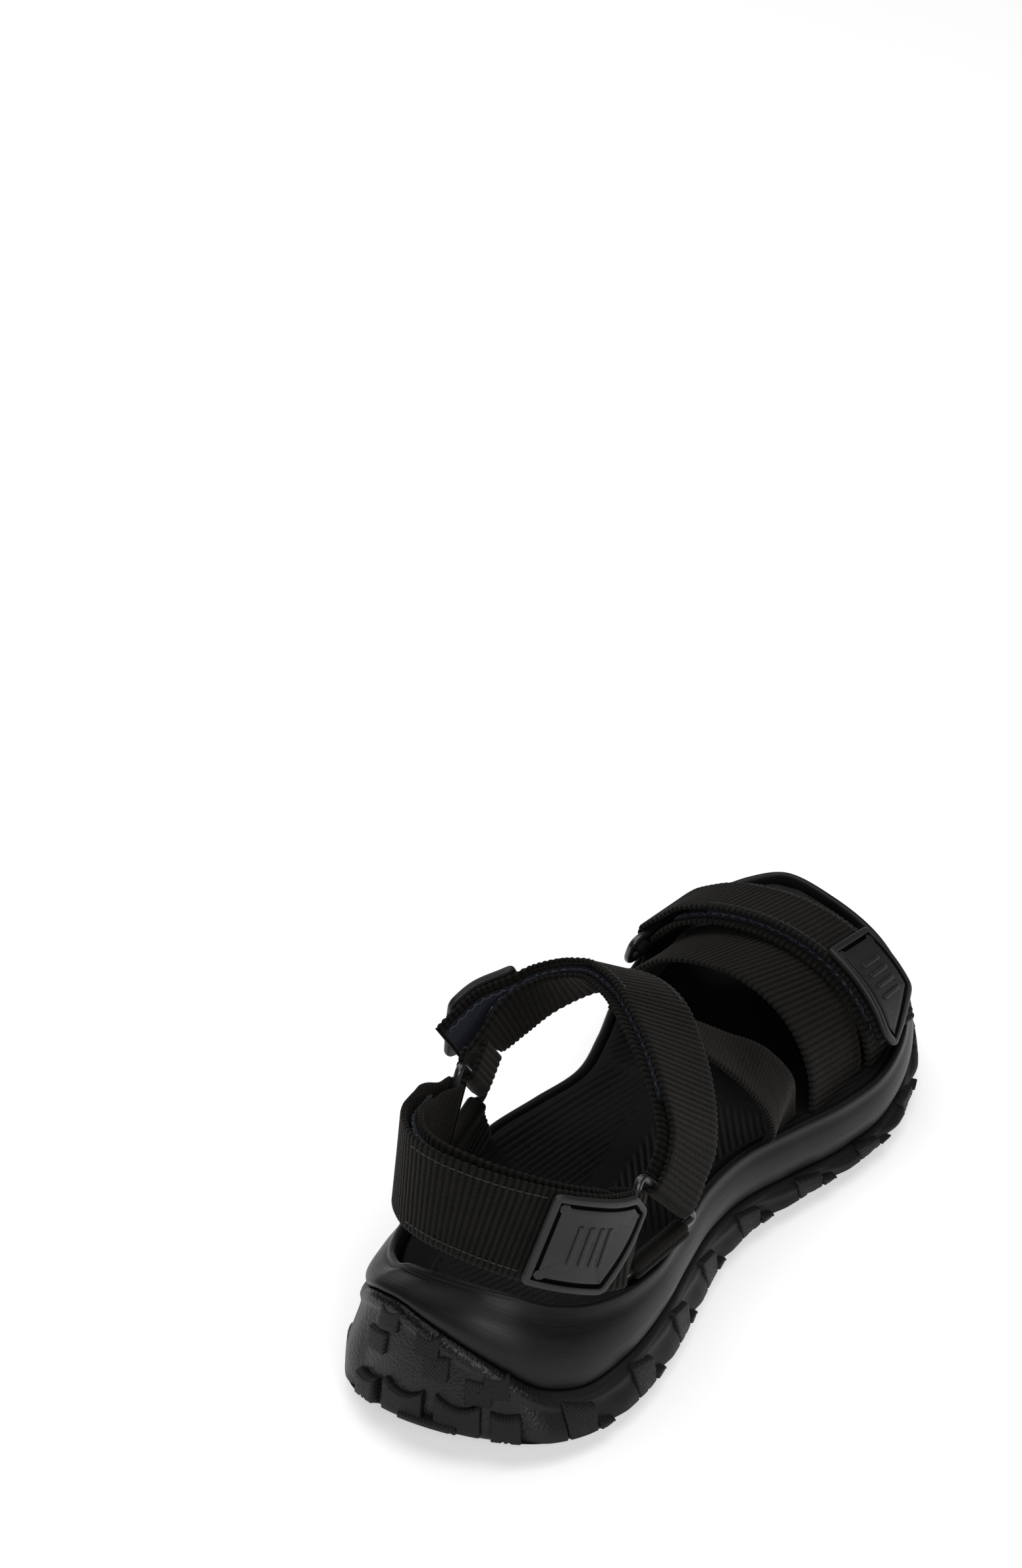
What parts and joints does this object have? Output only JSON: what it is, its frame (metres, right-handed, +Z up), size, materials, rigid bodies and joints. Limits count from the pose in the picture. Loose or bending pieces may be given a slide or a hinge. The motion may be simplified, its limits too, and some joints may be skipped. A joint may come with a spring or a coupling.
{
  "type": "strappy sport sandal",
  "caption": "Right-foot trail sandal: lugged rubber outsole, foam midsole, ribbed footbed and webbing straps with rings, hook-and-loop flaps and rubber pull tabs.",
  "frame": {"origin": "centre of the footprint's bounding box, at the bottom of the tread lugs", "axes": "+Y from heel to toe, +X to the outer side of the foot, +Z up"},
  "size_m": [0.1132, 0.2938, 0.101],
  "materials": {
    "outsole_rubber": "satin grained rubber",
    "midsole_foam": "smooth matte moulded foam",
    "board": "matte fibre board",
    "footbed_foam": "matte ribbed foam",
    "webbing": "ribbed grosgrain webbing",
    "fine_webbing": "finely ribbed webbing",
    "loop_tape": "loop pile",
    "hook_tape": "woven hook tape",
    "pad_rubber": "satin moulded rubber",
    "ring_metal": "black coated wire"
  },
  "bodies": {
    "sandal": {"outsole": "outsole_rubber", "midsole": "midsole_foam", "insole_board": "board", "footbed": "footbed_foam", "lateral_ring": "ring_metal", "medial_ring": "ring_metal", "toe_ring": "ring_metal", "lateral_leg": "webbing", "medial_leg": "webbing", "toe_ring_anchor": "webbing", "base_band": "webbing", "cross_strap": "fine_webbing", "heel_strap": "webbing", "heel_loop_patch": "loop_tape", "instep_strap": "webbing", "instep_loop_patch": "loop_tape", "front_strap": "webbing", "front_loop_patch": "loop_tape"},
    "heel_base": {"heel_flap_base": "webbing"},
    "heel_tip": {"heel_flap_tip": "webbing", "heel_hook_patch": "hook_tape", "heel_pad": "pad_rubber"},
    "instep_base": {"instep_flap_base": "webbing"},
    "instep_tip": {"instep_flap_tip": "webbing", "instep_hook_patch": "hook_tape", "instep_pad": "pad_rubber"},
    "front_base": {"front_flap_base": "webbing"},
    "front_tip": {"front_flap_tip": "webbing", "front_hook_patch": "hook_tape", "front_pad": "pad_rubber"}
  },
  "joints": [
    {"name": "heel_base_turn", "type": "hinge", "parent": "sandal", "child": "heel_base", "pos_m": [-0.03938, -0.06353, 0.061], "axis": [-0.087, -0.3625, -0.9279], "range_deg": [0, 50]},
    {"name": "heel_flap_open", "type": "hinge", "parent": "heel_base", "child": "heel_tip", "pos_m": [-0.02306, -0.12439, 0.08275], "axis": [0.0089, -0.1809, -0.9835], "range_deg": [0, 100]},
    {"name": "instep_base_turn", "type": "hinge", "parent": "sandal", "child": "instep_base", "pos_m": [0.03662, -0.06503, 0.05675], "axis": [0.1831, 0.6409, -0.7455], "range_deg": [0, 50]},
    {"name": "instep_flap_open", "type": "hinge", "parent": "instep_base", "child": "instep_tip", "pos_m": [0.01186, -0.01947, 0.09103], "axis": [0.4718, 0.7108, -0.5217], "range_deg": [0, 100]},
    {"name": "front_base_turn", "type": "hinge", "parent": "sandal", "child": "front_base", "pos_m": [-0.03908, 0.09365, 0.04332], "axis": [-0.2298, -0.973, -0.0197], "range_deg": [0, 50]},
    {"name": "front_flap_open", "type": "hinge", "parent": "front_base", "child": "front_tip", "pos_m": [-0.02077, 0.09078, 0.06051], "axis": [-0.1976, -0.9677, 0.1566], "range_deg": [0, 90]}
  ],
  "couplings": [
    {"joint": "heel_base_turn", "follows": "heel_flap_open", "ratio": 0.5},
    {"joint": "instep_base_turn", "follows": "instep_flap_open", "ratio": 0.5},
    {"joint": "front_base_turn", "follows": "front_flap_open", "ratio": 0.5}
  ]
}
